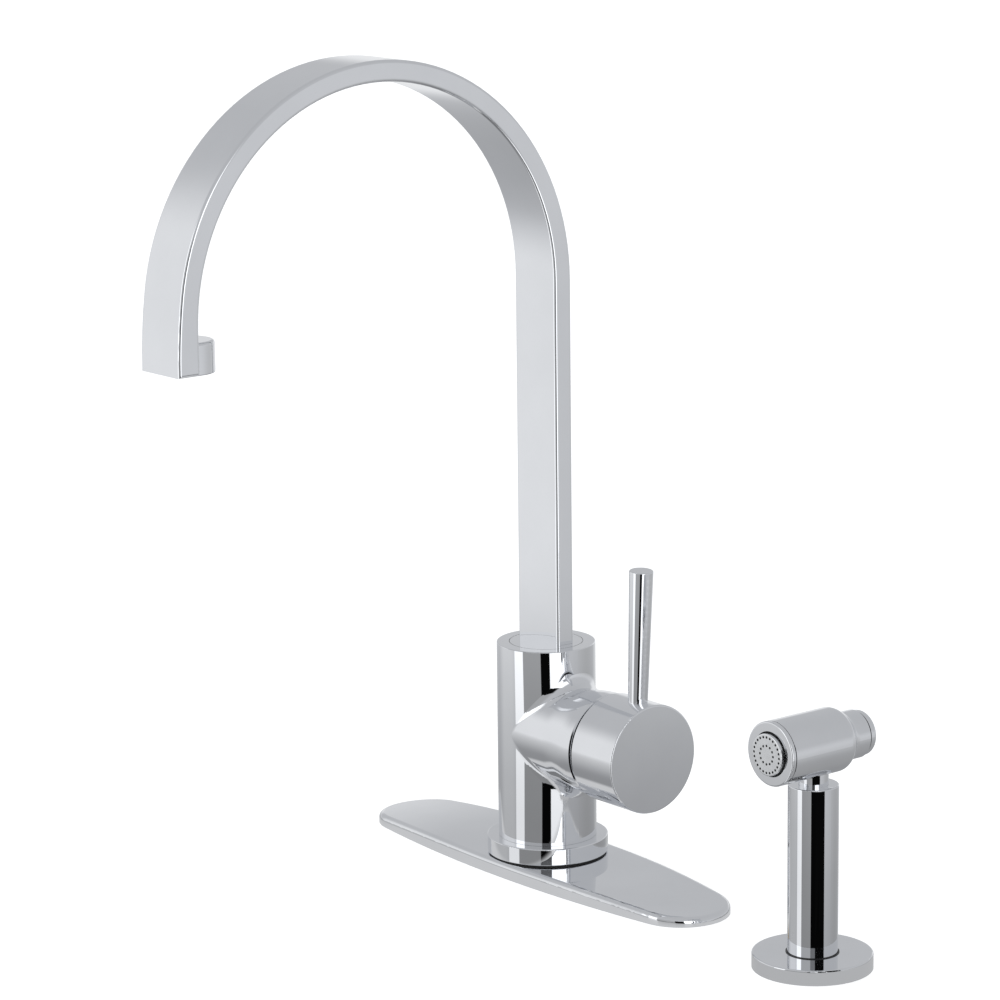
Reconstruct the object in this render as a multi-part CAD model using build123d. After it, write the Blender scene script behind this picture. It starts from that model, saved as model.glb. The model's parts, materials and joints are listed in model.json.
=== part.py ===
from build123d import *
import os
from math import sqrt, sin, cos, asin, radians, pi

# Gooseneck kitchen faucet on a deck plate, with a side lever mixer and a
# side spray that stands in its own holder.
# Frame: origin on the body's axis at the deck surface, +Z up, -Y to the front
# (where the spout points), +X towards the lever and the side spray.
os.makedirs("parts", exist_ok=True)

# ---------------------------------------------------------------- dimensions
PLATE_HALF_L, PLATE_HALF_W, PLATE_END_R = 126.8, 32.1, 24.5
PLATE_H, PLATE_EDGE, PLATE_WALL = 7.85, 2.8, 2.2
PLATE_FLAT, PLATE_FALL = 32.0, 4.4  # level under the flange, then lower to the ends
PLATE_HOLE_R = 17.0
GASKET_T = 0.8                      # thin seal between plate and base flange
FLANGE_R, FLANGE_Z0, FLANGE_Z1 = 30.8, 8.65, 17.3
SPIGOT_R, SPIGOT_Z0 = 23.5, 10.65
BODY_R, BODY_Z0, BODY_TOP = 25.0, 17.35, 118.3
BOSS_Z = 73.5                       # axis of the side boss, along X
BOSS_R0, BOSS_R1, BOSS_X1 = 24.9, 26.4, 49.2
SADDLE_R = 7.0
CAP_R, CAP_RI, CAP_X0, CAP_X1, CAP_END = 27.4, 25.4, 51.95, 82.05, 2.6
ROD_X, ROD_R0, ROD_R1, ROD_TOP, ROD_LEAN = 70.75, 4.93, 6.04, 167.6, 2.5
PIVOT_X = 32.0                      # lever pin
BALL_X, BALL_R = 25.6, 1.8
CART_X0, CART_X1, CART_BORE_R, NUT_BORE_R = 14.0, 39.0, 17.6, 19.0
SHANK_R, SHANK_RI, SHANK_Z0, SHANK_Z1 = 16.0, 13.75, -55.0, 21.0
BAR_W, BAR_T, BAR_WALL, BAR_EDGE = 31.7, 10.45, 1.5, 1.7
ARC_R, ARC_Z, TIP_Z = 111.1, 304.1, 283.0
TIP_Y = -2 * ARC_R
BEND_Z = 320.0                      # below it the outer face bends less, so the tip is thicker
AER_Y, AER_R, AER_Z0, AER_Z1, AER_THREAD_R = -213.0, 12.5, 282.5, 297.8, 10.46
SOCKET_R, SOCKET_Z = 17.5, 95.0
DISC_R, DISC_Z = 18.5, 116.3
DIV_R, DIV_Z0 = 9.0, 80.0
INLET_R = 4.46                      # M10x1 female threads, minor radius
INLET_X, INLET_Y, SPRAY_OUT_X = 4.5, 7.0, -7.5
DECK_T = 25.0                       # deck thickness left between plate and washers
SP_X, SP_Y = 203.2, -6.62           # side spray's hole, 8 inches from the centre
SP_BASE_R, SP_BASE_H = 28.7, 7.4
GRIP_R, GRIP_Z0, GRIP_Z1 = 12.0, 7.75, 89.4
NECK_R = 7.1
HEAD_Z, HEAD_R = 108.8, 15.4
HEAD_Y0, HEAD_Y1 = -25.1, 26.2      # front and rear seams of the spray head
REAR_R = 11.55
FACE_R = 10.0
BUTTON_TRAVEL = 3.5

C, MN = Align.CENTER, Align.MIN


def vcyl(r, z0, z1, x=0.0, y=0.0):
    return Pos(x, y, z0) * Cylinder(r, z1 - z0, align=(C, C, MN))


def vring(ro, ri, z0, z1, x=0.0, y=0.0):
    return vcyl(ro, z0, z1, x, y) - vcyl(ri, z0 - 1, z1 + 1, x, y)


def xcyl(r, x0, x1, y=0.0, z=BOSS_Z):
    return Pos(x0, y, z) * Rot(0, 90, 0) * Cylinder(r, x1 - x0, align=(C, C, MN))


def xring(ro, ri, x0, x1, y=0.0, z=BOSS_Z):
    return xcyl(ro, x0, x1, y, z) - xcyl(ri, x0 - 1, x1 + 1, y, z)


def ycyl(r, y0, y1, x=SP_X, z=HEAD_Z):
    return Pos(x, y0, z) * Rot(-90, 0, 0) * Cylinder(r, y1 - y0, align=(C, C, MN))


def yring(ro, ri, y0, y1, x=SP_X, z=HEAD_Z):
    return ycyl(ro, y0, y1, x, z) - ycyl(ri, y0 - 1, y1 + 1, x, z)


def block(x0, x1, y0, y1, z0, z1):
    return Pos((x0 + x1) / 2, (y0 + y1) / 2, (z0 + z1) / 2) * Box(x1 - x0, y1 - y0, z1 - z0)


def about_x(lines):
    """Solid of revolution about the boss axis; the outline is (x, radius)."""
    return Pos(0, 0, BOSS_Z) * revolve(make_face(lines), Axis.X)


def about_spray(points):
    """Solid of revolution about the spray head's axis; the outline is (radius, y)."""
    return Pos(SP_X, 0, HEAD_Z) * revolve(make_face(points), Axis.Y)


def round_edges(shape, test, r):
    es = [e for e in shape.edges() if test(e)]
    return fillet(es, r) if es else shape


def hexagon(af, z0, z1, x=0.0, y=0.0):
    return Pos(x, y, z0) * extrude(RegularPolygon(af / 2, 6, major_radius=False), z1 - z0)


shift = Pos(0, 0, 0)


def save(name, *solids):
    solids = [shift * s for s in solids]
    shape = solids[0] if len(solids) == 1 else Compound(children=list(solids))
    if len(solids) == 1:
        shape.label = name
    export_step(shape, f"parts/{name}.step")
    total = sum(s.volume for s in shape.solids())
    bad = [s for s in shape.solids() if not s.is_valid]
    print(f"{name:24s} solids {len(shape.solids())} volume {total:9.0f}{'  INVALID' if bad else ''}")
    return shape


# --------------------------------------------------------------- deck plate
def plate_plan(inset):
    """Long boat shape: two flat side arcs that run into round ends."""
    hw, re, a = PLATE_HALF_W - inset, PLATE_END_R - inset, PLATE_HALF_L - PLATE_END_R
    rs = (a * a + hw * hw - re * re) / (2 * (hw - re))
    k = re / (rs - re)
    tx, ty = a + a * k, (rs - hw) * k
    lines = [
        ThreePointArc((-tx, ty), (0, hw), (tx, ty)),
        ThreePointArc((tx, ty), (a + re, 0), (tx, -ty)),
        ThreePointArc((tx, -ty), (0, -hw), (-tx, -ty)),
        ThreePointArc((-tx, -ty), (-a - re, 0), (-tx, ty)),
    ]
    return make_face(lines)


def under_crown(drop):
    """Everything below the plate's top, which is level in the middle and
    curves down to both ends, lowered by drop."""
    top, span = PLATE_H - drop, PLATE_HALF_L - PLATE_FLAT
    fall = PLATE_H - PLATE_FALL
    rc = (span ** 2 + fall ** 2) / (2 * fall)
    half = rc - sqrt(rc ** 2 - (span / 2) ** 2)
    xe, xm = PLATE_HALF_L, PLATE_FLAT + span / 2
    side = Plane.XZ * make_face([
        Line((-PLATE_FLAT, top), (PLATE_FLAT, top)),
        ThreePointArc((PLATE_FLAT, top), (xm, top - half), (xe, top - fall)),
        Line((xe, top - fall), (xe, -20)),
        Line((xe, -20), (-xe, -20)),
        Line((-xe, -20), (-xe, top - fall)),
        ThreePointArc((-xe, top - fall), (-xm, top - half), (-PLATE_FLAT, top)),
    ])
    return extrude(side, 40, both=True)


def crowned(inset, drop, z0=0.0):
    return (Pos(0, 0, z0) * extrude(plate_plan(inset), 20)) & under_crown(drop)


def rim_edge(e):
    b = e.bounding_box()
    return b.min.Z > 2 and b.max.X - b.min.X > 3


plate = round_edges(crowned(0, 0), rim_edge, PLATE_EDGE)
plate -= crowned(PLATE_WALL, 2.0, -1.0)
plate -= vcyl(PLATE_HOLE_R, -1, PLATE_H + 1)
save("deck_plate", plate)

LINER_TOP = PLATE_H - 2.0
liner = crowned(PLATE_WALL + 0.3, 2.0)
pocket = crowned(PLATE_WALL + 2.6, 3.8, -1.0)
ribs = vcyl(24, 0, LINER_TOP) + block(-126, 126, -1, 1, 0, LINER_TOP)
for rx in (-96, -72, -48, 48, 72, 96):
    ribs += block(rx - 1, rx + 1, -31, 31, 0, LINER_TOP)
liner = (liner - pocket) + (ribs & liner)
liner -= vcyl(PLATE_HOLE_R, -1, 20)
save("deck_plate_liner", liner)

# ------------------------------------------------------------ base and body
save("flange_gasket", vring(29.9, 18.0, PLATE_H, PLATE_H + GASKET_T))

flange = vcyl(FLANGE_R, FLANGE_Z0, FLANGE_Z1)
flange = round_edges(flange, lambda e: e.geom_type == GeomType.CIRCLE, 0.5)
flange -= vcyl(SPIGOT_R + 0.1, SPIGOT_Z0, FLANGE_Z1 + 1)
flange -= vcyl(SHANK_R + 0.3, 0, SPIGOT_Z0 + 1)
save("base_flange", flange)

body = vcyl(SPIGOT_R, SPIGOT_Z0, BODY_Z0 + 1) + vcyl(BODY_R, BODY_Z0, BODY_TOP)
flare = [
    Line((0, 0), (0, BOSS_R0)),
    Line((0, BOSS_R0), (26, BOSS_R0)),
    Spline((26, BOSS_R0), (44, BOSS_R1), tangents=((1, 0), (1, 0))),
    Line((44, BOSS_R1), (BOSS_X1 - 0.6, BOSS_R1)),
    Line((BOSS_X1 - 0.6, BOSS_R1), (BOSS_X1, BOSS_R1 - 0.6)),
    Line((BOSS_X1, BOSS_R1 - 0.6), (BOSS_X1, 0)),
    Line((BOSS_X1, 0), (0, 0)),
]
body = body + about_x(flare)
saddle = [e for e in body.edges() if e.geom_type not in (GeomType.CIRCLE, GeomType.LINE)
          and e.length > 40 and e.center().X < BODY_R + 1]
body = body.fillet(SADDLE_R, saddle)
body = round_edges(body, lambda e: e.geom_type == GeomType.CIRCLE and abs(e.center().Z - BODY_TOP) < 1e-3, 0.4)
# spout socket, with a wider ring at the mouth for the turning disc
body -= vcyl(SOCKET_R, SOCKET_Z, BODY_TOP + 1)
body -= vcyl(DISC_R + 0.25, DISC_Z - 1.05, BODY_TOP + 1)
# diverter well below the socket
body -= vcyl(DIV_R, DIV_Z0, SOCKET_Z + 1)
# cartridge chamber and the wider thread in front of it
body -= xcyl(CART_BORE_R, CART_X0, CART_X1)
body -= xcyl(NUT_BORE_R, CART_X1, BOSS_X1 + 1)
# waterways: two inlets, mixed outlet, spray outlet
for sy in (-INLET_Y, INLET_Y):
    body -= vcyl(3.2, 31, BOSS_Z - 4.4, INLET_X, sy)
    body -= xcyl(3.2, INLET_X - 1.0, CART_X0 + 1, sy, BOSS_Z - 4.4)
    body -= vcyl(INLET_R, 22, 32, INLET_X, sy)
body -= xcyl(3.2, 6, CART_X0 + 1, 0, BOSS_Z + 9.6)
body -= vcyl(3.0, 31, 76, SPRAY_OUT_X, 0)
body -= vcyl(3.0, 70, DIV_Z0 + 1, SPRAY_OUT_X + 2.5, 0)
body -= vcyl(INLET_R, 22, 32, SPRAY_OUT_X, 0)
# thread for the mounting shank
body -= vcyl(SHANK_R - 0.15, SPIGOT_Z0 - 1, 22)
# set screw hole at the back, into the spout socket
GRUB_Z = 105.8
body -= ycyl(2.55, SOCKET_R - 2, BODY_R + 1, 0, GRUB_Z)
save("valve_body", body)

NUT_Z0 = -DECK_T - 13
shank = vcyl(SHANK_R, SHANK_Z0, NUT_Z0 - 0.2) + vcyl(SHANK_R - 0.2, NUT_Z0 - 1, SHANK_Z1) - vcyl(SHANK_RI, -60, 30)
shank = shank.chamfer(0.8, None, [e for e in shank.edges() if abs(e.center().Z - SHANK_Z0) < 1e-3 and abs(e.radius - SHANK_R) < 1e-3])
save("mounting_shank", shank)
save("shank_rubber_washer", vring(27.0, SHANK_R + 0.2, -DECK_T - 3, -DECK_T))
save("shank_steel_washer", vring(26.0, SHANK_R + 0.2, -DECK_T - 5, -DECK_T - 3))
save("shank_nut", hexagon(42.0, -DECK_T - 13, -DECK_T - 5) - vcyl(SHANK_R - 0.15, -60, 0))

grub = ycyl(2.5, SOCKET_R + 0.1, BODY_R - 0.8, 0, GRUB_Z) + ycyl(1.5, 15.85, SOCKET_R + 0.1, 0, GRUB_Z)
grub -= Pos(0, BODY_R - 0.8, GRUB_Z) * Rot(90, 0, 0) * extrude(RegularPolygon(1.25, 6, major_radius=False), 3)
save("spout_grub_screw", grub)
save("glide_ring", vring(DISC_R, SOCKET_R + 0.03, DISC_Z - 1.05, DISC_Z - 0.1))

# --------------------------------------------------------------- cartridge
PORTS = [(-INLET_Y, -4.4), (INLET_Y, -4.4), (0.0, 9.6)]
cbase = xcyl(17.4, CART_X0, 16.0) + xring(15.6, 14.1, 16.0, 18.0)
for py, pz in PORTS:
    cbase -= xcyl(3.2, 10, 20, py, BOSS_Z + pz)
    cbase -= xcyl(5.2, 10, CART_X0 + 1.0, py, BOSS_Z + pz)
save("cartridge_base", cbase)
save("cartridge_seals", *[xring(5.1, 3.4, CART_X0, CART_X0 + 1.0, py, BOSS_Z + pz) for py, pz in PORTS])

fixed = xcyl(14.0, 16.0, 19.5)
for py, pz in PORTS:
    fixed -= xcyl(2.9, 10, 25, py, BOSS_Z + pz)
save("fixed_disc", fixed)

housing = xring(17.5, 15.7, 16.0, CART_X1) + xring(17.0, 13.0, 37.3, CART_X1)
save("cartridge_housing", housing)

moving = xcyl(10.5, 19.55, 23.0) - xcyl(7.6, 19.0, 21.4, 0, BOSS_Z + 1.2)
save("moving_disc", moving)
carrier = xcyl(11.0, 23.0, 27.6) - block(23.5, 30, -2.1, 2.1, BOSS_Z - 2.1, BOSS_Z + 2.1)
save("disc_carrier", carrier)

rotor = xcyl(15.6, 28.2, 37.2) + xcyl(12.9, 37.2, 39.6)
rotor -= block(PIVOT_X, 41, -4.1, 4.1, BOSS_Z - 7.6, BOSS_Z + 4.4)
rotor -= block(27, PIVOT_X + 0.1, -4.1, 4.1, BOSS_Z - 4.6, BOSS_Z + 6.0)
rotor -= ycyl(5.6, -4.1, 4.1, PIVOT_X, BOSS_Z)
rotor -= ycyl(2.0, -20, 20, PIVOT_X, BOSS_Z)
save("cartridge_rotor", rotor)
save("lever_pin", ycyl(1.95, -14.8, 14.8, PIVOT_X, BOSS_Z))

stem = block(28.9, 76.0, -3.95, 3.95, BOSS_Z - 4.0, BOSS_Z + 4.0)
stem &= block(PIVOT_X, 80, -10, 10, 0, 200) + ycyl(5.0, -10, 10, PIVOT_X, BOSS_Z)
stem += xcyl(1.3, BALL_X, 29.5)
stem += Pos(BALL_X, 0, BOSS_Z) * Sphere(BALL_R)
stem -= ycyl(2.03, -20, 20, PIVOT_X, BOSS_Z)
save("stem_lever", stem)

save("cartridge_nut", xring(18.92, 13.5, CART_X1, 45.5))

# bonnet: a ball-shaped skin centred on the lever pin, so that the cap rolls over it
BON_R = 31.4


def on_ball(r):
    return PIVOT_X + sqrt(BON_R ** 2 - r ** 2)


bonnet = about_x([
    Line((45.5, 16.6), (45.5, 18.92)),
    Line((45.5, 18.92), (BOSS_X1, 18.92)),
    Line((BOSS_X1, 18.92), (BOSS_X1, 23.8)),
    Line((BOSS_X1, 23.8), (BOSS_X1 + 0.7, 23.8)),
    Line((BOSS_X1 + 0.7, 23.8), (BOSS_X1 + 0.7, 24.9)),
    Line((BOSS_X1 + 0.7, 24.9), (on_ball(24.9), 24.9)),
    ThreePointArc((on_ball(24.9), 24.9), (on_ball(21.0), 21.0), (on_ball(17.4), 17.4)),
    Line((on_ball(17.4), 17.4), (on_ball(17.4) - 0.8, 16.6)),
    Line((on_ball(17.4) - 0.8, 16.6), (45.5, 16.6)),
])
save("bonnet", bonnet)

# ------------------------------------------------------------------ handle
cap = xcyl(CAP_R, CAP_X0, CAP_X1)
cap = round_edges(cap, lambda e: e.geom_type == GeomType.CIRCLE and e.center().X > CAP_X1 - 0.1, 0.8)
cap = round_edges(cap, lambda e: e.geom_type == GeomType.CIRCLE and abs(e.radius - CAP_R) < 1e-3 and e.center().X < CAP_X0 + 0.1, 0.3)
cap -= xcyl(CAP_RI, CAP_X0 - 1, CAP_X1 - CAP_END)
hub = xcyl(8.0, 65.0, CAP_X1 - 1.0) + vcyl(5.6, BOSS_Z, BOSS_Z + CAP_RI + 0.6, ROD_X + 0.0)
cap += hub
cap -= block(60, 77.0, -4.0, 4.0, BOSS_Z - 4.05, BOSS_Z + 4.05)
cap -= vcyl(2.5, BOSS_Z - 9, BOSS_Z, 72.0)
cap -= vcyl(2.6, BOSS_Z - CAP_R - 1, BOSS_Z - CAP_RI + 1, 72.0)
lean = Pos(ROD_X, 0, BOSS_Z + CAP_R) * Rot(0, ROD_LEAN, 0)
cap -= lean * (Pos(0, 0, -9.0) * Cylinder(3.05, 12, align=(C, C, MN)))
save("handle_cap", cap)

rod_len = (ROD_TOP - BOSS_Z - CAP_R) / cos(radians(ROD_LEAN))
slope = (ROD_R1 - ROD_R0) / rod_len
rod = Pos(0, 0, -4.0) * Cone(ROD_R0 - 4.0 * slope, ROD_R1, rod_len + 4.0, align=(C, C, MN))
rod = round_edges(rod, lambda e: e.geom_type == GeomType.CIRCLE and e.center().Z > rod_len - 0.1, 0.6)
rod = lean * rod
rod -= xcyl(CAP_R + 0.02, 50, 100)
rod += lean * (Pos(0, 0, -8.5) * Cylinder(3.0, 12, align=(C, C, MN)))
save("handle_rod", rod)

screw = vcyl(2.45, BOSS_Z - 10.5, BOSS_Z - 4.0, 72.0)
screw -= Pos(72.0, 0, BOSS_Z - 10.6) * extrude(RegularPolygon(1.25, 6, major_radius=False), 2.6)
save("handle_set_screw", screw)

# ------------------------------------------------------------------- spout
def bar_outline(t, z_base, z_tip):
    """Side view of the bar on the (y, z) plane, half thickness t."""
    ro, ri, rf = ARC_R + t, ARC_R - t, ARC_R + BAR_T / 2
    a = asin((BEND_Z - ARC_Z) / rf)
    r2 = (BEND_Z - TIP_Z) / sin(a)
    cy = -ARC_R - rf * cos(a) + r2 * cos(a)
    r2 -= BAR_T / 2 - t
    e = asin((z_tip - TIP_Z) / r2)
    m = (a + e) / 2
    bend = (-ARC_R - ro * cos(a), ARC_Z + ro * sin(a))
    tip = (cy - r2 * cos(e), z_tip)
    return [
        Line((t, z_base), (t, ARC_Z)),
        ThreePointArc((t, ARC_Z), (-ARC_R, ARC_Z + ro), bend),
        ThreePointArc(bend, (cy - r2 * cos(m), TIP_Z + r2 * sin(m)), tip),
        Line(tip, (TIP_Y + t, z_tip)),
        Line((TIP_Y + t, z_tip), (TIP_Y + t, ARC_Z)),
        ThreePointArc((TIP_Y + t, ARC_Z), (-ARC_R, ARC_Z + ri), (-t, ARC_Z)),
        Line((-t, ARC_Z), (-t, z_base)),
        Line((-t, z_base), (t, z_base)),
    ]


def bar(t, w, z_base, z_tip):
    return extrude(Plane.YZ * make_face(bar_outline(t, z_base, z_tip)), w / 2, both=True)


spout = bar(BAR_T / 2, BAR_W, BODY_TOP, TIP_Z)
spout = round_edges(
    spout,
    lambda e: abs(abs(e.center().X) - BAR_W / 2) < 1e-3 and e.center().Z > BODY_TOP + 1 and e.center().Z != BODY_TOP,
    BAR_EDGE,
)
sleeve = vcyl(AER_R, AER_Z0, AER_Z1, 0, AER_Y)
sleeve = round_edges(sleeve, lambda e: e.geom_type == GeomType.CIRCLE and e.center().Z > AER_Z0 + 1, 1.5)
sleeve = round_edges(sleeve, lambda e: e.geom_type == GeomType.CIRCLE and e.center().Z < AER_Z0 + 0.1, 0.5)
spout += sleeve
spout -= bar(BAR_T / 2 - BAR_WALL, BAR_W - 2 * BAR_WALL, BODY_TOP - 1, TIP_Z + 9.0)
spout -= vcyl(AER_THREAD_R, AER_Z0 - 1, AER_Z0 + 12.5, 0, AER_Y)
save("spout", spout)

STEM_Z0 = 98.4
sstem = vcyl(DISC_R, DISC_Z, BODY_TOP) + vcyl(SOCKET_R - 0.06, STEM_Z0, DISC_Z + 0.1)
sstem -= vring(30, 15.0, 99.9, 102.6)
sstem -= vring(30, 15.5, 104.2, 107.4)
sstem -= vring(30, 15.0, 109.6, 112.3)
sstem -= vcyl(13.0, 90, 113.6)
sstem -= block(-12.4, 12.4, -3.4, 3.4, 112.6, BODY_TOP + 1)
save("spout_stem", sstem)
save("spout_o_rings", *[Pos(0, 0, z) * Torus(16.25, 1.18) for z in (101.25, 110.95)])

az = AER_Z0
ins = vcyl(10.4, az + 0.7, az + 10.5, 0, AER_Y)
ins -= vcyl(7.9, az + 2.9, az + 13, 0, AER_Y)
ins -= vcyl(9.0, az + 6.5, az + 13, 0, AER_Y)
grid = [vcyl(0.75, az - 1, az + 4, r * cos(2 * pi * k / n), AER_Y + r * sin(2 * pi * k / n))
        for r, n in ((0.0, 1), (2.4, 6), (4.6, 12), (6.7, 18)) for k in range(n)]
ins -= Compound(children=grid)
save("aerator_insert", ins)
scr = vcyl(8.9, az + 6.5, az + 7.3, 0, AER_Y)
scr -= Compound(children=[vcyl(0.7, az + 5, az + 9, r * cos(2 * pi * k / n), AER_Y + r * sin(2 * pi * k / n))
                          for r, n in ((0.0, 1), (2.6, 6), (5.0, 12)) for k in range(n)])
save("aerator_screen", scr)
save("aerator_washer", vring(10.4, 7.4, az + 10.5, az + 12.5, 0, AER_Y))

# ---------------------------------------------------------------- diverter
dbody = vcyl(DIV_R - 0.1, 80.2, SOCKET_Z + 0.1) + vcyl(11.5, SOCKET_Z, 97.0)
dbody -= vcyl(4.4, 79, 81.0)
dbody -= vcyl(5.5, 81.0, 96.0)
dbody -= vcyl(3.4, 95, 98)
dbody -= vring(20, 7.2, 89.0, 91.2) & vcyl(DIV_R, 80, 95)
dbody -= xcyl(2.0, 4, 12, 0, BOSS_Z + 9.6)
save("diverter_body", dbody)
save("diverter_seal", Pos(0, 0, 90.1) * Torus(8.1, 0.82))
piston = vcyl(1.5, 81.05, 94.6) + vcyl(5.42, 81.05, 82.0) + vcyl(4.6, 91.3, 92.9)
for k in range(3):
    piston -= vcyl(1.1, 80, 83, 3.5 * cos(2.0944 * k), 3.5 * sin(2.0944 * k))
save("diverter_piston", piston)

# -------------------------------------------------------- side spray holder
# The side spray is drawn on the line of the faucet and stands SP_Y in front of it.
shift = Pos(0, SP_Y, 0)
holder = vcyl(SP_BASE_R, 0, SP_BASE_H, SP_X)
holder = round_edges(holder, lambda e: e.geom_type == GeomType.CIRCLE and e.center().Z > 1, 0.8)
holder += vcyl(14.0, -50.0, -35.7, SP_X) + vcyl(13.8, -36.0, 1.0, SP_X)
holder -= vring(26.5, 16.5, -1, 2.0, SP_X)
holder -= vcyl(12.0, -51, 10, SP_X)
save("spray_holder", holder)
save("holder_gasket", vring(26.4, 16.6, 0, 2.0, SP_X))
save("holder_liner", vring(11.95, 10.8, -14, SP_BASE_H, SP_X) + vring(12.7, 10.8, SP_BASE_H, SP_BASE_H + 0.25, SP_X))
save("holder_washer", vring(24.0, 14.2, -DECK_T - 2.5, -DECK_T, SP_X))
save("holder_nut", hexagon(38.0, -DECK_T - 10.5, -DECK_T - 2.5, SP_X) - vcyl(13.85, -60, 0, SP_X))

# --------------------------------------------------------------- side spray
grip = vcyl(GRIP_R, GRIP_Z0, GRIP_Z1, SP_X)
grip = round_edges(grip, lambda e: e.geom_type == GeomType.CIRCLE and e.center().Z > GRIP_Z1 - 1, 0.5)
grip += vcyl(10.7, -22.0, GRIP_Z0 + 1, SP_X)
grip -= vcyl(7.5, -23, 30, SP_X)
grip -= vcyl(9.5, 14.0, GRIP_Z1 - 3.0, SP_X)
grip -= vcyl(NECK_R + 0.02, 60, GRIP_Z1 + 1, SP_X)
save("spray_grip", grip)

conn = vcyl(7.42, -22.3, 17.0, SP_X) + vcyl(9.5, -26.0, -22.3, SP_X) + vcyl(6.58, -38.0, -26.0, SP_X)
conn -= vring(30, 6.5, 14.1, 15.1, SP_X)
conn -= vring(30, 5.7, -13.0, -11.0, SP_X)
conn -= vcyl(4.0, -40, 20, SP_X)
save("hose_connector", conn)
clip = vring(9.2, 6.55, 14.15, 15.05, SP_X) - block(SP_X, SP_X + 12, -2.2, 2.2, 13, 16)
save("connector_clip", clip)
save("connector_o_ring", Pos(SP_X, 0, -12.0) * Torus(6.56, 0.84))
save("check_valve", vring(3.95, 1.6, 3.0, 12.0, SP_X))

neck = vring(NECK_R, 4.6, GRIP_Z1 - 3.0, 98.8, SP_X)
save("spray_neck", neck)

head_line = [
    Line((0, HEAD_Y0), (HEAD_R - 0.1, HEAD_Y0)),
    Line((HEAD_R - 0.1, HEAD_Y0), (HEAD_R, HEAD_Y0 + 0.1)),
    Line((HEAD_R, HEAD_Y0 + 0.1), (HEAD_R, 10.2)),
    Spline((HEAD_R, 10.2), (REAR_R, 19.0), tangents=((0, 1), (0, 1))),
    Line((REAR_R, 19.0), (REAR_R, HEAD_Y1 - 0.3)),
    Line((REAR_R, HEAD_Y1 - 0.3), (REAR_R - 0.3, HEAD_Y1)),
    Line((REAR_R - 0.3, HEAD_Y1), (0, HEAD_Y1)),
    Line((0, HEAD_Y1), (0, HEAD_Y0)),
]
head = about_spray(head_line)
head -= ycyl(13.6, HEAD_Y0 - 1, 12.0)
head -= ycyl(9.6, 0, 20)
head -= ycyl(11.0, 17.5, 30)
head -= vcyl(NECK_R + 0.02, 85, 100, SP_X)
save("spray_head", head)

ring_line = [
    Line((10.8, -27.65), (HEAD_R - 0.8, -27.65)),
    ThreePointArc((HEAD_R - 0.8, -27.65), (HEAD_R - 0.8 * 0.2929, -27.65 + 0.8 * 0.2929), (HEAD_R, -26.85)),
    Line((HEAD_R, -26.85), (HEAD_R, HEAD_Y0 - 0.4)),
    Line((HEAD_R, HEAD_Y0 - 0.4), (HEAD_R - 1.4, HEAD_Y0 - 0.4)),
    Line((HEAD_R - 1.4, HEAD_Y0 - 0.4), (HEAD_R - 1.4, HEAD_Y0)),
    Line((HEAD_R - 1.4, HEAD_Y0), (13.52, HEAD_Y0)),
    Line((13.52, HEAD_Y0), (13.52, -22.1)),
    Line((13.52, -22.1), (12.5, -22.1)),
    Line((12.5, -22.1), (12.5, -26.4)),
    Line((12.5, -26.4), (10.8, -26.4)),
    Line((10.8, -26.4), (10.8, -27.65)),
]
save("spray_face_ring", about_spray(ring_line))
face = ycyl(FACE_R, -29.9, -25.6)
face = round_edges(face, lambda e: e.geom_type == GeomType.CIRCLE and e.center().Y < -29, 0.5)
face += ycyl(12.3, -25.6, HEAD_Y0)
face -= ycyl(9.4, -28.4, 0)
face -= Compound(children=[ycyl(0.6, -32, -26, SP_X + r * cos(2 * pi * k / n), HEAD_Z + r * sin(2 * pi * k / n))
                           for r, n in ((8.45, 24), (4.4, 12)) for k in range(n)])
save("spray_face", face)
save("face_seal", yring(12.4, FACE_R + 0.03, -26.4, -25.6))

core = ycyl(13.5, -22.0, 11.9) + ycyl(12.4, -25.0, -21.9)
core -= ycyl(10.0, -30, -20.5)
core -= ycyl(6.0, -21, -14.5)
core -= ycyl(4.25, -21, 14)
core -= vcyl(4.5, 90, HEAD_Z, SP_X)
core -= vcyl(NECK_R + 0.1, 90, 99.0, SP_X)
save("spray_core", core)

spool = ycyl(4.15, -16.5, -10.8) + ycyl(2.2, -11, 6.2) + ycyl(4.15, 6.0, 11.0) + ycyl(3.0, 10.9, 28.7)
spool -= yring(20, 2.9, -14.2, -12.8)
spool -= yring(20, 2.9, 7.8, 9.2)
save("spray_plunger", spool)
save("plunger_o_rings", *[Pos(SP_X, y, HEAD_Z) * Rot(90, 0, 0) * Torus(3.55, 0.6) for y in (-13.5, 8.5)])

button = ycyl(10.85, 21.8, 30.9)
button = round_edges(button, lambda e: e.geom_type == GeomType.CIRCLE and e.center().Y > 30.5, 1.8)
button -= yring(20, 10.0, 22.6, HEAD_Y1 + 0.8)
button -= ycyl(9.3, 20, 28.7)
save("spray_button", button)

coil = Helix(pitch=3.1, height=15.5, radius=5.6)
wire = sweep(Plane(origin=coil @ 0, z_dir=coil % 0) * Circle(0.45), path=coil, is_frenet=True)
spring = Pos(SP_X, 12.5, HEAD_Z) * Rot(-90, 0, 0) * wire
save("button_spring", spring)
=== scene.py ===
import bpy
import json
from math import sin, cos, radians, pi
from mathutils import Matrix, Vector

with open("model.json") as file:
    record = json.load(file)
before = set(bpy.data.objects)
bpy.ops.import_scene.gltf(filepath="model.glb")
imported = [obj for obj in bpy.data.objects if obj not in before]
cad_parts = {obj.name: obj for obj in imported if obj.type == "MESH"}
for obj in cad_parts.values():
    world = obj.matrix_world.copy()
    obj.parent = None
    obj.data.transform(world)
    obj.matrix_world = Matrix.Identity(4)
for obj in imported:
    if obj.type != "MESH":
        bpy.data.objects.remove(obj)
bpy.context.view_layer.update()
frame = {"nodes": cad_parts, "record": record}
NODES = frame["nodes"]
scene = bpy.context.scene

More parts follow.
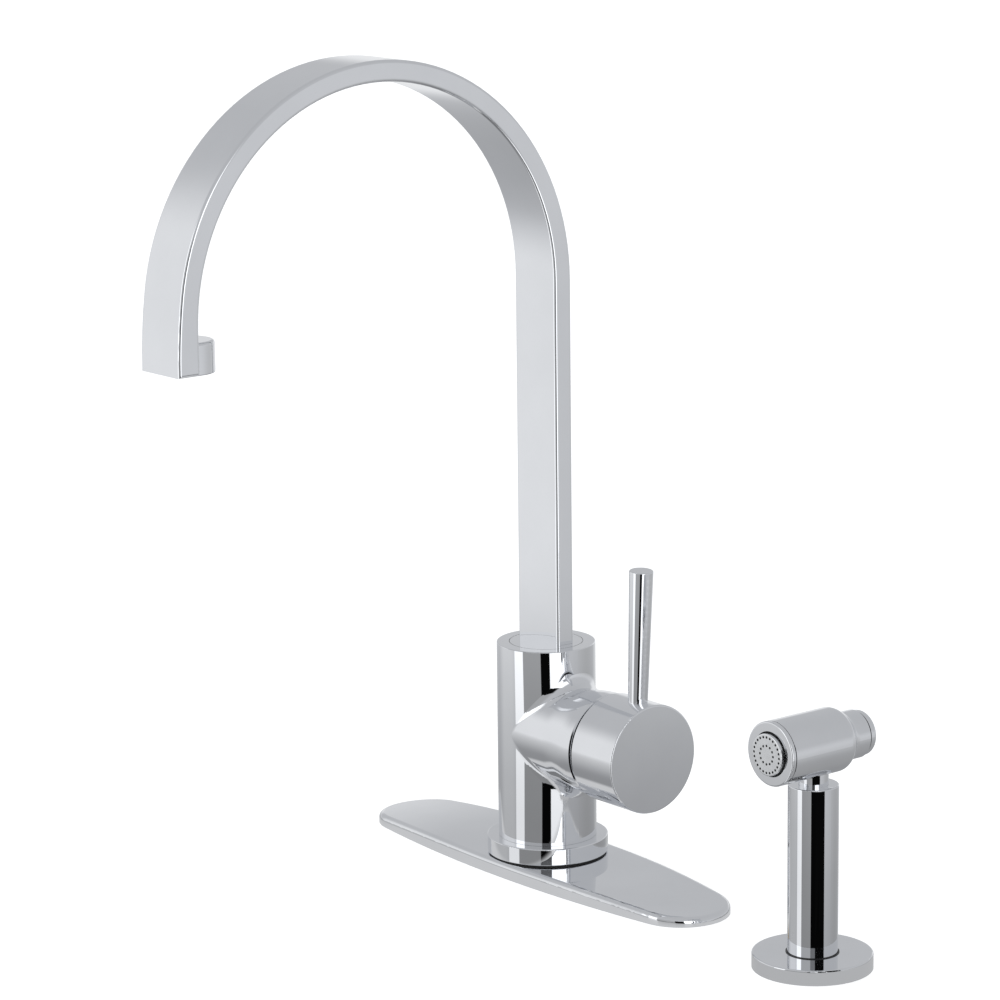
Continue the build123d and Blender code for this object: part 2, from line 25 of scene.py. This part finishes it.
# ------------------------------------------------------------------ camera
CAM_POS = Vector((1.471108, -1.212549, 0.604975))
AZ, DOWN, ROLL, FOCAL_PX = radians(51.1778), radians(12.2478), radians(-0.6517), 3888.53
fwd = Vector((-sin(AZ) * cos(DOWN), cos(AZ) * cos(DOWN), -sin(DOWN)))
right = Vector((cos(AZ), sin(AZ), 0.0))
up = right.cross(fwd)
right2 = cos(ROLL) * right + sin(ROLL) * up
up2 = -sin(ROLL) * right + cos(ROLL) * up
cam_data = bpy.data.cameras.new("Camera")
cam_data.sensor_width = 36.0
cam_data.lens = FOCAL_PX / 1000.0 * 36.0
cam_data.clip_start, cam_data.clip_end = 0.05, 50.0
cam = bpy.data.objects.new("Camera", cam_data)
scene.collection.objects.link(cam)
rot = Matrix((right2, up2, -fwd)).transposed().to_4x4()
cam.matrix_world = Matrix.Translation(CAM_POS) @ rot
scene.camera = cam


# --------------------------------------------------------------- materials
def new_mat(name):
    m = bpy.data.materials.new(name)
    m.use_nodes = True
    nt = m.node_tree
    return m, nt, nt.nodes["Principled BSDF"]


def noise(nt, scale, detail=3.0, rough=0.5, stretch=None):
    tc = nt.nodes.new("ShaderNodeTexCoord")
    n = nt.nodes.new("ShaderNodeTexNoise")
    n.inputs["Scale"].default_value = scale
    n.inputs["Detail"].default_value = detail
    n.inputs["Roughness"].default_value = rough
    if stretch:
        mp = nt.nodes.new("ShaderNodeMapping")
        mp.inputs["Scale"].default_value = stretch
        nt.links.new(tc.outputs["Object"], mp.inputs["Vector"])
        nt.links.new(mp.outputs["Vector"], n.inputs["Vector"])
    else:
        nt.links.new(tc.outputs["Object"], n.inputs["Vector"])
    return n


def remap(nt, src, lo, hi):
    r = nt.nodes.new("ShaderNodeMapRange")
    r.inputs["From Min"].default_value = 0.3
    r.inputs["From Max"].default_value = 0.7
    r.inputs["To Min"].default_value = lo
    r.inputs["To Max"].default_value = hi
    nt.links.new(src, r.inputs["Value"])
    return r.outputs["Result"]


def mix_colour(nt, src, a, b):
    mx = nt.nodes.new("ShaderNodeMix")
    mx.data_type = "RGBA"
    mx.inputs[6].default_value = (*a, 1)
    mx.inputs[7].default_value = (*b, 1)
    nt.links.new(src, mx.inputs[0])
    return mx.outputs[2]


def bump(nt, bsdf, src, dist, strength=1.0):
    b = nt.nodes.new("ShaderNodeBump")
    b.inputs["Distance"].default_value = dist
    b.inputs["Strength"].default_value = strength
    nt.links.new(src, b.inputs["Height"])
    nt.links.new(b.outputs["Normal"], bsdf.inputs["Normal"])


def metal(name, a, b, r0, r1, scale=60.0, stretch=None, bump_mm=0.0):
    m, nt, p = new_mat(name)
    p.inputs["Metallic"].default_value = 1.0
    n = noise(nt, scale, 4.0, 0.55, stretch)
    f = remap(nt, n.outputs["Fac"], 0.0, 1.0)
    nt.links.new(mix_colour(nt, f, a, b), p.inputs["Base Color"])
    nt.links.new(remap(nt, n.outputs["Fac"], r0, r1), p.inputs["Roughness"])
    if bump_mm:
        bump(nt, p, n.outputs["Fac"], bump_mm / 1000.0)
    return m


def plastic(name, a, b, r0, r1, scale=300.0, bump_mm=0.01):
    m, nt, p = new_mat(name)
    n = noise(nt, scale, 3.0)
    f = remap(nt, n.outputs["Fac"], 0.0, 1.0)
    nt.links.new(mix_colour(nt, f, a, b), p.inputs["Base Color"])
    nt.links.new(remap(nt, n.outputs["Fac"], r0, r1), p.inputs["Roughness"])
    bump(nt, p, n.outputs["Fac"], bump_mm / 1000.0)
    return m


MAT = {
    "chrome": metal("chrome_polished", (0.80, 0.81, 0.83), (0.84, 0.85, 0.87), 0.02, 0.05, 25.0),
    "brass": metal("brass_machined", (0.72, 0.52, 0.24), (0.80, 0.60, 0.30), 0.22, 0.36, 40.0, (1, 1, 30)),
    "steel": metal("steel_machined", (0.52, 0.53, 0.55), (0.62, 0.63, 0.65), 0.2, 0.34, 60.0, (1, 1, 20)),
    "spray_plate": metal("spray_plate_satin", (0.84, 0.85, 0.86), (0.90, 0.91, 0.92), 0.16, 0.26, 400.0),
    "black_plastic": plastic("black_plastic", (0.010, 0.010, 0.011), (0.022, 0.022, 0.024), 0.35, 0.55),
    "white_plastic": plastic("white_plastic", (0.74, 0.74, 0.72), (0.82, 0.82, 0.80), 0.35, 0.5),
    "grey_plastic": plastic("grey_plastic", (0.30, 0.31, 0.33), (0.38, 0.39, 0.41), 0.35, 0.5),
    "ceramic": plastic("ceramic_glazed", (0.84, 0.82, 0.77), (0.90, 0.89, 0.85), 0.08, 0.16, 200.0, 0.002),
    "rubber": plastic("rubber_black", (0.008, 0.008, 0.008), (0.018, 0.018, 0.018), 0.55, 0.75),
}
for sub in frame["record"]["subparts"]:
    o = NODES[sub["node"]]
    o.data.materials.clear()
    o.data.materials.append(MAT[sub["material_slot"]])

# ------------------------------------------------------------------- stage
# White table for the eye; chrome doesn't mirror it, it mirrors the studio panels.
bpy.ops.mesh.primitive_plane_add(size=12.0, location=(0, 0, 0))
floor = bpy.context.object
floor.name = "studio_floor"
fm, fnt, fp = new_mat("floor_white")
fp.inputs["Base Color"].default_value = (0.92, 0.92, 0.92, 1)
fp.inputs["Roughness"].default_value = 0.9
fp.inputs["Specular IOR Level"].default_value = 0.1
fp.inputs["Emission Color"].default_value = (1, 1, 1, 1)
fp.inputs["Emission Strength"].default_value = 0.62
floor.data.materials.append(fm)
floor.visible_glossy = False

# Shade of the table in the chrome: a tinted sheet, deeper close to the object.
bpy.ops.mesh.primitive_plane_add(size=12.0, location=(0, 0, -0.0006))
shade = bpy.context.object
shade.name = "studio_table_shade"
sm = bpy.data.materials.new("table_shade")
sm.use_nodes = True
snt = sm.node_tree
snt.nodes.clear()
s_tc = snt.nodes.new("ShaderNodeTexCoord")
s_len = snt.nodes.new("ShaderNodeVectorMath")
s_len.operation = "LENGTH"
s_ramp = snt.nodes.new("ShaderNodeMapRange")
s_ramp.interpolation_type = "SMOOTHSTEP"
for key, val in (("From Min", 0.05), ("From Max", 0.75), ("To Min", 0.60), ("To Max", 1.0)):
    s_ramp.inputs[key].default_value = val
s_tr = snt.nodes.new("ShaderNodeBsdfTransparent")
s_out = snt.nodes.new("ShaderNodeOutputMaterial")
snt.links.new(s_tc.outputs["Object"], s_len.inputs[0])
snt.links.new(s_len.outputs["Value"], s_ramp.inputs["Value"])
snt.links.new(s_ramp.outputs["Result"], s_tr.inputs["Color"])
snt.links.new(s_tr.outputs[0], s_out.inputs["Surface"])
shade.data.materials.append(sm)
shade.visible_camera = shade.visible_diffuse = shade.visible_shadow = shade.visible_transmission = False



# Painted reflection of the pale table close to the feet: glowing sheets that only the chrome sees,
# for the plate's rim and the spray's holder to mirror. It fades out before the taller parts can see it.
def painted_table_reflection(name, x, y, half_x, half_y, inner, level):
    bpy.ops.mesh.primitive_plane_add(size=2.0, location=(x, y, -0.0003))
    o = bpy.context.object
    o.name = name
    o.scale = (half_x, half_y, 1.0)
    m = bpy.data.materials.new(name)
    m.use_nodes = True
    nt = m.node_tree
    nt.nodes.clear()
    tc = nt.nodes.new("ShaderNodeTexCoord")
    ln = nt.nodes.new("ShaderNodeVectorMath")
    ln.operation = "LENGTH"
    fade = nt.nodes.new("ShaderNodeMapRange")
    fade.interpolation_type = "SMOOTHSTEP"
    fade.inputs["From Min"].default_value = inner
    fade.inputs["From Max"].default_value = 1.0
    em = nt.nodes.new("ShaderNodeEmission")
    em.inputs["Color"].default_value = (0.985, 0.99, 1.0, 1)
    em.inputs["Strength"].default_value = level
    tr = nt.nodes.new("ShaderNodeBsdfTransparent")
    mx = nt.nodes.new("ShaderNodeMixShader")
    out = nt.nodes.new("ShaderNodeOutputMaterial")
    nt.links.new(tc.outputs["Object"], ln.inputs[0])
    nt.links.new(ln.outputs["Value"], fade.inputs["Value"])
    nt.links.new(fade.outputs["Result"], mx.inputs[0])
    nt.links.new(em.outputs[0], mx.inputs[1])
    nt.links.new(tr.outputs[0], mx.inputs[2])
    nt.links.new(mx.outputs[0], out.inputs["Surface"])
    o.data.materials.append(m)
    o.visible_camera = o.visible_diffuse = o.visible_shadow = o.visible_transmission = False


# painted reflection of the lit table: glowing sheets under the plate and under the spray, seen only in the
# chrome
painted_table_reflection("studio_painted_reflection_plate", 0.0, 0.0, 0.162, 0.060, 0.78, 0.66)
painted_table_reflection("studio_painted_reflection_spray", 0.2032, -0.00662, 0.0505, 0.0505, 0.93, 0.52)


# Small dark cards that stand by the side spray for its grip to mirror. Each is
# a straight strip on end from (x0, y0) to (x1, y1); the mixer's body sees them
# edge on or behind the spray.
def card(name, x0, y0, x1, y1, z0, z1, level):
    me = bpy.data.meshes.new(name)
    me.from_pydata([(x0, y0, z0), (x1, y1, z0), (x1, y1, z1), (x0, y0, z1)], [], [(0, 1, 2, 3)])
    o = bpy.data.objects.new(name, me)
    scene.collection.objects.link(o)
    m = bpy.data.materials.new(name)
    m.use_nodes = True
    nt = m.node_tree
    nt.nodes.clear()
    em = nt.nodes.new("ShaderNodeEmission")
    em.inputs["Color"].default_value = (0.985, 0.995, 1.0, 1)
    em.inputs["Strength"].default_value = level
    out = nt.nodes.new("ShaderNodeOutputMaterial")
    nt.links.new(em.outputs[0], out.inputs["Surface"])
    me.materials.append(m)
    o.visible_camera = o.visible_diffuse = o.visible_shadow = o.visible_transmission = False


card("studio_flag_right", 0.258, -0.0430, 0.460, -0.0713, -0.060, 0.094, 0.003)
card("studio_flag_end", 0.280, -0.0300, 0.280, 0.0000, -0.012, 0.094, 0.003)

# ------------------------------------------------------------------- light
# Studio round the object: a soft surround, and panels and flags hung in it.
# Each panel: bearing of its middle from the camera side (degrees, + to the
# right), half width, edge softness, lowest and highest elevation, softness,
# brightness.
PANELS = [
    ("fill_left", -104, 26, 14, -22, 26, 10, 0.86),
    ("backdrop", 170, 24, 9, -24, 11, 6, 0.86),
    ("side_wall", 108, 26, 26, -60, -4, 12, 0.54),
    ("gap_left", -35, 24, 1.0, -60, 20, 10, 0.44),
    ("strip_left", -68.5, 11.5, 0.6, -60, 30, 8, 1.45),
    ("softbox_right", 21.5, 14.5, 0.6, -60, 30, 8, 1.60),
    ("flag_camera", -3.5, 10.5, 0.5, -60, 20, 6, 0.003),
]
world = bpy.data.worlds.new("studio")
scene.world = world
world.use_nodes = True
wt = world.node_tree
wt.nodes.clear()


def wmath(op, a, b=None):
    n = wt.nodes.new("ShaderNodeMath")
    n.operation = op
    for i, v in enumerate((a, b)):
        if v is None:
            continue
        if isinstance(v, (int, float)):
            n.inputs[i].default_value = v
        else:
            wt.links.new(v, n.inputs[i])
    return n.outputs[0]


def wstep(src, lo, hi):
    r = wt.nodes.new("ShaderNodeMapRange")
    r.interpolation_type = "SMOOTHSTEP"
    r.inputs["From Min"].default_value = lo
    r.inputs["From Max"].default_value = hi
    wt.links.new(src, r.inputs["Value"])
    return r.outputs["Result"]


w_tc = wt.nodes.new("ShaderNodeTexCoord")
w_sep = wt.nodes.new("ShaderNodeSeparateXYZ")
wt.links.new(w_tc.outputs["Generated"], w_sep.inputs[0])
elev = wmath("DEGREES", wmath("ARCSINE", w_sep.outputs["Z"]))
w_flat = wt.nodes.new("ShaderNodeCombineXYZ")
wt.links.new(w_sep.outputs["X"], w_flat.inputs["X"])
wt.links.new(w_sep.outputs["Y"], w_flat.inputs["Y"])
w_dir = wt.nodes.new("ShaderNodeVectorMath")
w_dir.operation = "NORMALIZE"
wt.links.new(w_flat.outputs[0], w_dir.inputs[0])

# soft surround: palest at the horizon, darker overhead and under the table
surround = wt.nodes.new("ShaderNodeValToRGB")
ramp = surround.color_ramp
ramp.interpolation = "EASE"
stops = [(0.0, 0.30), (0.30, 0.52), (0.47, 0.70), (0.58, 0.56), (1.0, 0.52)]
while len(ramp.elements) < len(stops):
    ramp.elements.new(0.5)
for el, (pos, v) in zip(ramp.elements, stops):
    el.position, el.color = pos, (v * 0.975, v * 0.99, v * 1.02, 1)
w_pos = wt.nodes.new("ShaderNodeMapRange")
w_pos.inputs["From Min"].default_value = -90.0
w_pos.inputs["From Max"].default_value = 90.0
wt.links.new(elev, w_pos.inputs["Value"])
wt.links.new(w_pos.outputs["Result"], surround.inputs["Fac"])
light = surround.outputs["Color"]

front = AZ - pi / 2                      # bearing of the camera, seen from the object
for name, mid, half, soft, lo, hi, vsoft, level in PANELS:
    c = front + radians(mid)
    dot = wt.nodes.new("ShaderNodeVectorMath")
    dot.operation = "DOT_PRODUCT"
    dot.inputs[1].default_value = (cos(c), sin(c), 0.0)
    wt.links.new(w_dir.outputs[0], dot.inputs[0])
    off = wmath("DEGREES", wmath("ARCCOSINE", dot.outputs["Value"]))
    across = wmath("SUBTRACT", 1.0, wstep(off, half - soft, half + soft))
    along = wmath("MULTIPLY", wstep(elev, lo - vsoft, lo + vsoft), wmath("SUBTRACT", 1.0, wstep(elev, hi - vsoft, hi + vsoft)))
    mx = wt.nodes.new("ShaderNodeMix")
    mx.data_type = "RGBA"
    mx.label = name
    mx.inputs[7].default_value = (level * 0.985, level * 0.995, level * 1.01, 1)
    wt.links.new(wmath("MULTIPLY", across, along), mx.inputs[0])
    wt.links.new(light, mx.inputs[6])
    light = mx.outputs[2]

w_path = wt.nodes.new("ShaderNodeLightPath")
w_env = wt.nodes.new("ShaderNodeBackground")
w_white = wt.nodes.new("ShaderNodeBackground")
w_white.inputs[0].default_value = (1, 1, 1, 1)
wt.links.new(light, w_env.inputs[0])
w_mix = wt.nodes.new("ShaderNodeMixShader")
w_out = wt.nodes.new("ShaderNodeOutputWorld")
wt.links.new(w_path.outputs["Is Camera Ray"], w_mix.inputs[0])
wt.links.new(w_env.outputs[0], w_mix.inputs[1])
wt.links.new(w_white.outputs[0], w_mix.inputs[2])
wt.links.new(w_mix.outputs[0], w_out.inputs["Surface"])

scene.view_settings.view_transform = "Standard"
